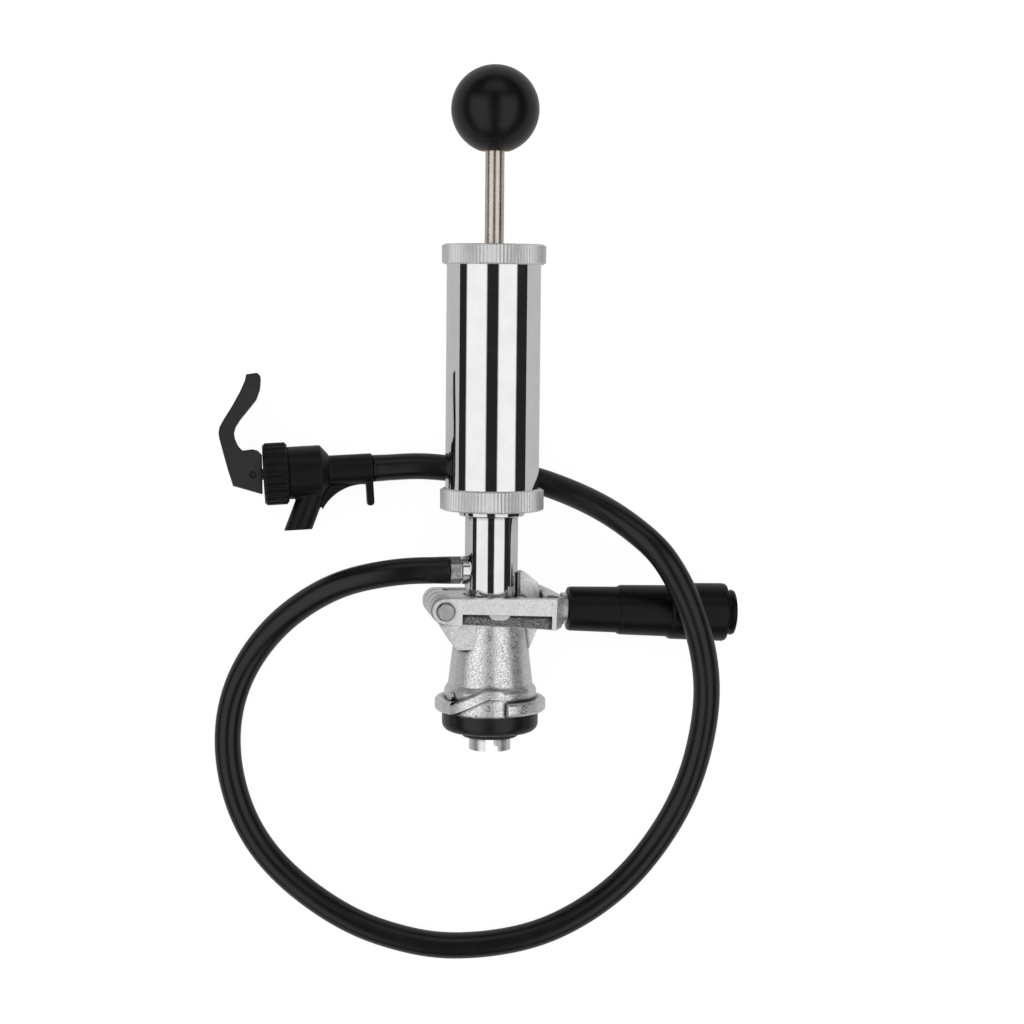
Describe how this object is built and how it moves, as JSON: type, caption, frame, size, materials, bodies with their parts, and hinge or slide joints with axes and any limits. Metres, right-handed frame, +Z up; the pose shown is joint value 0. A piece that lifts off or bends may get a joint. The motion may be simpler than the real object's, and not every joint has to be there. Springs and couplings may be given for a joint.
{
  "type": "keg party pump",
  "caption": "Hand air pump on a lever-handled bayonet keg coupler, with a ball knob, a short hose and a thumb-lever tap, lying on its side.",
  "frame": {"origin": "on the table, under the middle of the box of everything but the hose", "axes": "+Y towards the ball knob, +X towards the lever's grip, +Z up from the table"},
  "size_m": [0.2393, 0.4034, 0.0672],
  "materials": {
    "cast_metal": "satin cast, chromed",
    "bright_metal": "polished",
    "knurled_metal": "satin, straight knurled",
    "rod_metal": "brushed",
    "pin_metal": "satin",
    "brass": "turned",
    "black_rubber": "matte",
    "black_plastic": "satin, moulded",
    "knob_plastic": "polished",
    "hose_vinyl": "smooth",
    "valve_plastic": "moulded"
  },
  "bodies": {
    "coupler": {"coupler_body": "cast_metal", "bottom_seal": "black_rubber", "hinge_pin": "pin_metal", "hinge_washers": "pin_metal", "index_stud": "bright_metal"},
    "lever": {"yoke": "cast_metal", "handle_shank": "bright_metal", "grip_washer": "bright_metal", "latch_spring": "pin_metal"},
    "grip": {"grip_sleeve": "black_plastic", "grip_end_cap": "black_plastic", "latch_plunger": "pin_metal"},
    "probe": {"stem_tube": "bright_metal", "stem_o_rings": "black_rubber", "trunnion_pins": "pin_metal", "probe_tip": "bright_metal", "probe_seal": "black_rubber", "beer_tube": "pin_metal", "check_stop_pin": "pin_metal", "outlet_fitting": "bright_metal", "stem_flange": "bright_metal", "lower_collar": "knurled_metal", "base_gasket": "black_rubber", "barrel_base": "black_plastic", "barrel_tube": "bright_metal", "top_cap": "knurled_metal", "rod_bushing": "brass", "faucet_body": "black_plastic", "faucet_collar": "black_plastic", "faucet_gasket": "black_rubber", "faucet_spring": "pin_metal", "hose": "hose_vinyl"},
    "foot_valve": {"foot_valve_disc": "black_rubber"},
    "beer_check": {"beer_check_ball": "pin_metal"},
    "piston": {"piston_cup": "black_rubber"},
    "rod": {"pump_rod": "rod_metal", "knob": "knob_plastic", "knob_insert": "brass", "piston_plate_upper": "pin_metal", "piston_plate_lower": "pin_metal", "piston_nut": "pin_metal", "rod_bumper": "black_rubber"},
    "valve": {"valve_stem": "valve_plastic", "valve_seal": "black_rubber", "lever_pin": "pin_metal"},
    "tap_lever": {"faucet_lever": "black_plastic"}
  },
  "joints": [
    {"name": "lever_swing", "type": "hinge", "parent": "coupler", "child": "lever", "pos_m": [-0.01593, -0.08723, 0.03155], "axis": [0.1406, -0.0863, 0.9863], "range_deg": [0, 19]},
    {"name": "grip_pull", "type": "slide", "parent": "lever", "child": "grip", "axis": [0.9896, -0.019, -0.1427], "range_m": [0, 0.005], "stiffness_N_per_m": 800, "springref_m": -0.004},
    {"name": "probe_slide", "type": "slide", "parent": "coupler", "child": "probe", "axis": [0, 0.9962, 0.0872], "range_m": [0, 0.0079]},
    {"name": "foot_valve_drop", "type": "slide", "parent": "probe", "child": "foot_valve", "axis": [0, -0.9962, -0.0872], "range_m": [0, 0.0014]},
    {"name": "beer_check_lift", "type": "slide", "parent": "probe", "child": "beer_check", "axis": [0, 0.9962, 0.0872], "range_m": [0, 0.003]},
    {"name": "pump_stroke", "type": "slide", "parent": "probe", "child": "piston", "axis": [0, 0.9962, 0.0872], "range_m": [-0.038, 0.038]},
    {"name": "knob_turn", "type": "hinge", "parent": "piston", "child": "rod", "pos_m": [0.00684, 0.13332, 0.0476], "axis": [0, 0.9962, 0.0872], "continuous": true},
    {"name": "tap_valve_lift", "type": "slide", "parent": "probe", "child": "valve", "axis": [-0.9913, -0.0676, 0.1132], "range_m": [0, 0.0033]},
    {"name": "tap_lever_swing", "type": "hinge", "parent": "valve", "child": "tap_lever", "pos_m": [-0.10232, -0.02929, 0.01592], "axis": [-0.1129, -0.0077, -0.9936], "range_deg": [0, 20.5], "stiffness_Nm_per_rad": 0.35, "springref_deg": -8.59}
  ],
  "couplings": [
    {"joint": "probe_slide", "follows": "lever_swing", "m_per_rad": 0.0236},
    {"joint": "tap_valve_lift", "follows": "tap_lever_swing", "m_per_rad": 0.0092}
  ]
}
